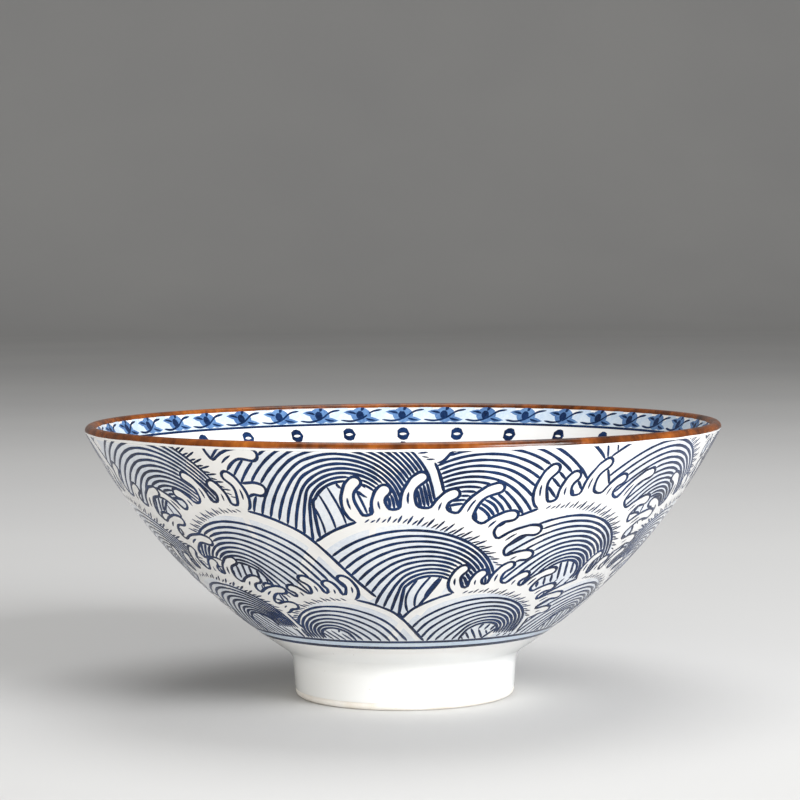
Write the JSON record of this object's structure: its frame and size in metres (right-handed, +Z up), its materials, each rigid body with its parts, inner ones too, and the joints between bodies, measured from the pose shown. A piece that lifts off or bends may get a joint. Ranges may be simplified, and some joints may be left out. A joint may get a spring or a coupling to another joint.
{
  "type": "teacup",
  "caption": "Small flared porcelain teacup on a turned foot ring, with no handle, a brown glazed lip and blue wave prints.",
  "frame": {"origin": "centre of the foot's contact ring, on the surface that the cup stands on", "axes": "+Z up along the axis that the cup is turned about, and X and Y square to it"},
  "size_m": [0.09, 0.09, 0.039],
  "materials": {
    "porcelain_clay": "matte",
    "clear_glaze": "glossy",
    "brown_glaze": "glossy",
    "blue_print": "glossy"
  },
  "bodies": {
    "root": {"clay_bowl": "porcelain_clay", "clay_foot_ring": "porcelain_clay", "outer_glaze": "clear_glaze", "inner_glaze": "clear_glaze", "base_glaze": "clear_glaze", "lip_glaze": "brown_glaze", "wave_print": "blue_print", "foot_line_pair": "blue_print", "leaf_border_print": "blue_print", "bead_band_print": "blue_print", "picture_ring_line": "blue_print", "picture_print": "blue_print"}
  },
  "joints": []
}
